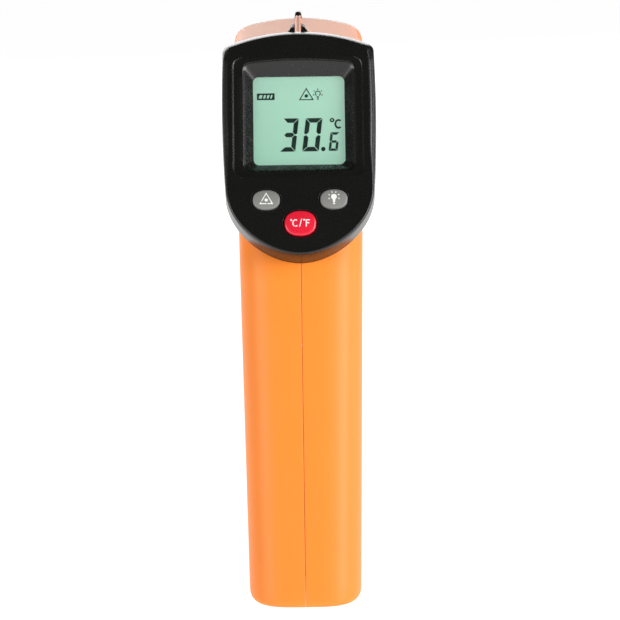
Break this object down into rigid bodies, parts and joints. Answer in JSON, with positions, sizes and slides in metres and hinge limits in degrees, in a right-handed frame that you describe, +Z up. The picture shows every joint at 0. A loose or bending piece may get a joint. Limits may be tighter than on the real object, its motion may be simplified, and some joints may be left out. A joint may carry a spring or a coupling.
{
  "type": "infrared thermometer",
  "caption": "Pistol-shaped infrared thermometer with a two-half orange shell, a black display bezel with push buttons, a lens nose, a spring trigger and a hinged battery door.",
  "frame": {"origin": "middle of the flat base of the handle", "axes": "+X across the object, towards the right side seen from behind the display; +Y out of the nose; +Z up, out of the top of the barrel"},
  "size_m": [0.0432, 0.1005, 0.1579],
  "materials": {
    "orange_shell": "moulded, fine satin grain",
    "black_shell": "moulded, satin gloss",
    "trigger_plastic": "moulded, satin",
    "door_plastic": "moulded, fine grain",
    "clear_window": "clear polished plastic",
    "foam": "black foam",
    "display_glass": "display glass with a green light behind",
    "light_guide": "frosted light guide",
    "led": "clear resin",
    "white_plastic": "moulded",
    "elastomer": "striped conductive rubber",
    "circuit_board": "green solder mask",
    "chip": "moulded epoxy",
    "steel_fastener": "zinc plated",
    "grey_button": "moulded, satin",
    "red_button": "moulded, satin",
    "switch_body": "moulded",
    "switch_plunger": "moulded",
    "tube_metal": "black anodised",
    "infrared_glass": "dark polished infrared lens",
    "seal_rubber": "black",
    "sensor_can": "nickel plated can",
    "laser_brass": "turned brass",
    "red_glass": "clear red plastic",
    "spring_steel": "nickel plated",
    "tray_plastic": "moulded",
    "cell_jacket": "plain shrink sleeve",
    "wire_cover": "coloured insulation"
  },
  "bodies": {
    "housing": {"housing_left": "orange_shell", "housing_right": "orange_shell", "display_bezel": "black_shell", "display_window": "clear_window", "window_gasket": "foam", "lcd_panel": "display_glass", "lcd_backlight": "light_guide", "backlight_leds": "led", "lcd_frame": "white_plastic", "zebra_connector": "elastomer", "main_board": "circuit_board", "board_chips": "chip", "board_screws": "steel_fastener", "laser_switch": "switch_body", "backlight_switch": "switch_body", "unit_switch": "switch_body", "nose": "black_shell", "lens_tube": "tube_metal", "infrared_lens": "infrared_glass", "lens_retainer": "tube_metal", "lens_seal": "seal_rubber", "thermopile_sensor": "sensor_can", "sensor_board": "circuit_board", "laser_module": "laser_brass", "laser_board": "circuit_board", "laser_window": "red_glass", "trigger_spring": "spring_steel", "trigger_switch": "switch_body", "trigger_board": "circuit_board", "battery_tray": "tray_plastic", "battery_cell_left": "cell_jacket", "battery_cell_right": "cell_jacket", "battery_springs": "spring_steel", "battery_plates": "spring_steel", "housing_screws": "steel_fastener", "battery_leads": "wire_cover", "sensor_leads": "wire_cover", "laser_leads": "wire_cover", "trigger_leads": "wire_cover"},
    "laser_button": {"laser_button": "grey_button", "laser_plunger": "switch_plunger"},
    "backlight_button": {"backlight_button": "grey_button", "backlight_plunger": "switch_plunger"},
    "unit_button": {"unit_button": "red_button", "unit_plunger": "switch_plunger"},
    "trigger": {"trigger": "trigger_plastic"},
    "trigger_plunger": {"trigger_plunger": "white_plastic"},
    "battery_door": {"battery_door": "door_plastic"}
  },
  "joints": [
    {"name": "laser_button_press", "type": "slide", "parent": "housing", "child": "laser_button", "axis": [0, 0.9135, -0.4067], "range_m": [0, 0.0006], "stiffness_N_per_m": 300},
    {"name": "backlight_button_press", "type": "slide", "parent": "housing", "child": "backlight_button", "axis": [0, 0.9135, -0.4067], "range_m": [0, 0.0006], "stiffness_N_per_m": 300},
    {"name": "unit_button_press", "type": "slide", "parent": "housing", "child": "unit_button", "axis": [0, 0.9135, -0.4067], "range_m": [0, 0.0006], "stiffness_N_per_m": 300},
    {"name": "trigger_pull", "type": "hinge", "parent": "housing", "child": "trigger", "pos_m": [0, 0.041, 0.113], "axis": [-1, 0, 0], "range_deg": [0, 7], "stiffness_Nm_per_rad": 0.3, "springref_deg": -2.86, "deforming": ["trigger_spring"]},
    {"name": "trigger_plunger_push", "type": "slide", "parent": "housing", "child": "trigger_plunger", "axis": [0, 0, 1], "range_m": [0, 0.0017]},
    {"name": "battery_door_swing", "type": "hinge", "parent": "housing", "child": "battery_door", "pos_m": [0, 0.0126, 0.0068], "axis": [-1, 0, 0], "range_deg": [0, 80]}
  ],
  "couplings": [
    {"joint": "trigger_plunger_push", "follows": "trigger_pull", "m_per_rad": 0.0132}
  ]
}
